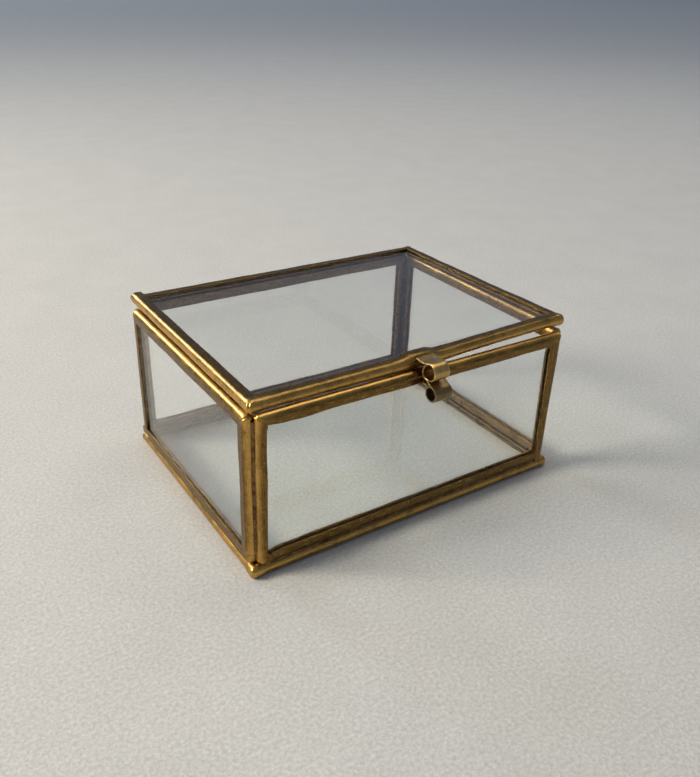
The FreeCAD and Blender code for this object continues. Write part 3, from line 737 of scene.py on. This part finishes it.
# The box's curl: its strap slopes forward and down from the front channel. Its brass is a
# darker copy of the strip's brass, with painted shade for the shade under the lid's curl.
low, high = corners_mm("box_clasp_curl")
box_curl_middle = np.array([(low[0] + high[0]) / 2, low[1] + BOX_CURL, low[2] + BOX_CURL])
strap_way = Y * math.cos(BOX_STRAP_SLOPE) + Z * math.sin(BOX_STRAP_SLOPE)
side_way = Z * math.cos(BOX_STRAP_SLOPE) - Y * math.sin(BOX_STRAP_SLOPE)
strap_length = (high[1] - box_curl_middle[1] - 0.1
                + (BOX_CURL - CLASP_STRIP / 2) * math.sin(BOX_STRAP_SLOPE)
                ) / math.cos(BOX_STRAP_SLOPE)
make_roll("box_clasp_curl", "box", box_curl_middle, BOX_CURL, CLASP_STRIP, strap_length,
          strap_way, side_way, 81, painted_shade_brass)

# The hinges' rolls: one on the lid and two on the box for each hinge, straps against the
# back channels.
for node, body, up, seed in [("left_hinge_lid_roll", "lid", Z, 101),
                             ("right_hinge_lid_roll", "lid", Z, 102),
                             ("left_hinge_inner_box_roll", "box", -Z, 103),
                             ("left_hinge_outer_box_roll", "box", -Z, 104),
                             ("right_hinge_inner_box_roll", "box", -Z, 105),
                             ("right_hinge_outer_box_roll", "box", -Z, 106)]:
    low, high = corners_mm(node)
    radius = (high[1] - low[1]) / 2
    middle_z = low[2] + radius if up[2] > 0 else high[2] - radius
    make_roll(node, body,
              np.array([(low[0] + high[0]) / 2, (low[1] + high[1]) / 2, middle_z]),
              radius, HINGE_STRIP, high[2] - low[2] - radius, up, -Y, seed, strip_brass)

# ---------------------------------------------------------------- the hinge wires
# A straight piece of brass wire runs through each hinge's three rolls, its ends nipped
# and filed smooth.
wire_brass = brass_material("hinge_wire_brass", (0.52, 0.36, 0.14), (0.30, 0.19, 0.075),
                            (0.12, 0.06, 0.03), 0.28, 0.35, ridged=False)
for side in ("left", "right"):
    finish_node(f"{side}_hinge_pin", wire_brass)

# ---------------------------------------------------------------- the floor and light
# A wide sheet of pale paper under the box, with fine fibres and soft clouds. Warm light
# comes from a window on the left, and the far side of the room is slightly blue.
FLOOR_HALF = 14.0
FIBRE_SCALE, CLOUD_SCALE = 1150.0, 38.0
PAPER_DARK, PAPER_PALE = (0.44, 0.434, 0.415), (0.64, 0.63, 0.605)
WINDOW_COLOUR, CEILING_COLOUR = (1.0, 0.91, 0.74), (1.0, 0.92, 0.79)
ROOM_COLOUR, FAR_COLOUR = (1.0, 0.97, 0.93), (0.74, 0.84, 1.0)
WORLD_COLOUR, WORLD_STRENGTH = (0.70, 0.80, 1.0, 1.0), 0.27

mesh = bpy.data.meshes.new("paper_floor")
mesh.from_pydata([(-FLOOR_HALF, -FLOOR_HALF, 0), (FLOOR_HALF, -FLOOR_HALF, 0),
                  (FLOOR_HALF, FLOOR_HALF, 0), (-FLOOR_HALF, FLOOR_HALF, 0)],
                 [], [(0, 1, 2, 3)])
floor = bpy.data.objects.new("paper_floor", mesh)
bpy.context.scene.collection.objects.link(floor)
paper, nodes, links, shader = new_material("pale_paper")
where = nodes.new("ShaderNodeTexCoord").outputs["Object"]
fibres = noise(nodes, links, where, FIBRE_SCALE, 4.0, 0.8)
clouds = noise(nodes, links, where, CLOUD_SCALE, 5.0, 0.68)
links.new(mixed(nodes, links,
                ramp(nodes, links, fibres, [(0.34, PAPER_DARK), (0.66, PAPER_PALE)]),
                ramp(nodes, links, clouds, [(0.3, grey(0.93)), (0.7, grey(1.0))]),
                1.0, "MULTIPLY"), shader.inputs["Base Color"])
shader.inputs["Roughness"].default_value = 0.9
shader.inputs["Specular IOR Level"].default_value = 0.15
links.new(bump(nodes, links, fibres, 0.0001, 0.3), shader.inputs["Normal"])
mesh.materials.append(paper)

# Square soft lamps: place, the point that each faces, side, power and colour.
for name, place, target, size, power, colour in [
    ("window_light", (-0.85, 0.32, 0.55), (0, 0, 0.02), (0.36, 0.32), 11.2, WINDOW_COLOUR),
    ("ceiling_light", (0.4, 0.2, 1.2), (0, 0, 0.02), (0.8, 0.8), 4.4, CEILING_COLOUR),
    ("room_light", (-1.8, 1.2, 2.8), (-0.4, 0.8, 0), (2.0, 2.0), 13.0, ROOM_COLOUR),
    ("far_light", (-3.4, 8.8, 4.4), (-2.0, 6.6, 0), (3.6, 3.6), 440.0, FAR_COLOUR),
]:
    data = bpy.data.lights.new(name, "AREA")
    data.shape = "RECTANGLE"
    data.size, data.size_y = size
    data.energy = power
    data.color = colour
    lamp = bpy.data.objects.new(name, data)
    lamp.location = place
    lamp.rotation_euler = (Vector(target) - Vector(place)).to_track_quat("-Z", "Y").to_euler()
    bpy.context.scene.collection.objects.link(lamp)

world = bpy.data.worlds.new("room")
world.use_nodes = True
background = world.node_tree.nodes["Background"]
background.inputs["Color"].default_value = WORLD_COLOUR
background.inputs["Strength"].default_value = WORLD_STRENGTH
bpy.context.scene.world = world
bpy.context.scene.view_settings.view_transform = "Standard"

# ---------------------------------------------------------------- the camera
# It stands a hand's breadth in front and to the left, looks down on the lid, and is
# turned a little about its own line of sight.
CAMERA_PLACE = Vector((-0.11512, -0.17108, 0.1330))
AZIMUTH, ELEVATION, ROLL = (math.radians(angle) for angle in (-34.24, 28.06, 2.15))
LENS, SENSOR = 36.74, 36.0
NEAREST, FARTHEST = 0.01, 60.0
back = Vector((math.sin(AZIMUTH) * math.cos(ELEVATION),
               -math.cos(AZIMUTH) * math.cos(ELEVATION), math.sin(ELEVATION)))
level = Vector((0, 0, 1)).cross(back).normalized()
upright = back.cross(level)
right = level * math.cos(ROLL) + upright * math.sin(ROLL)
upward = upright * math.cos(ROLL) - level * math.sin(ROLL)
camera_data = bpy.data.cameras.new("camera")
camera_data.lens = LENS
camera_data.sensor_width = SENSOR
camera_data.clip_start = NEAREST
camera_data.clip_end = FARTHEST
camera = bpy.data.objects.new("camera", camera_data)
turned = Matrix((right, upward, back)).transposed().to_4x4()
turned.translation = CAMERA_PLACE
camera.matrix_world = turned
bpy.context.scene.collection.objects.link(camera)
bpy.context.scene.camera = camera
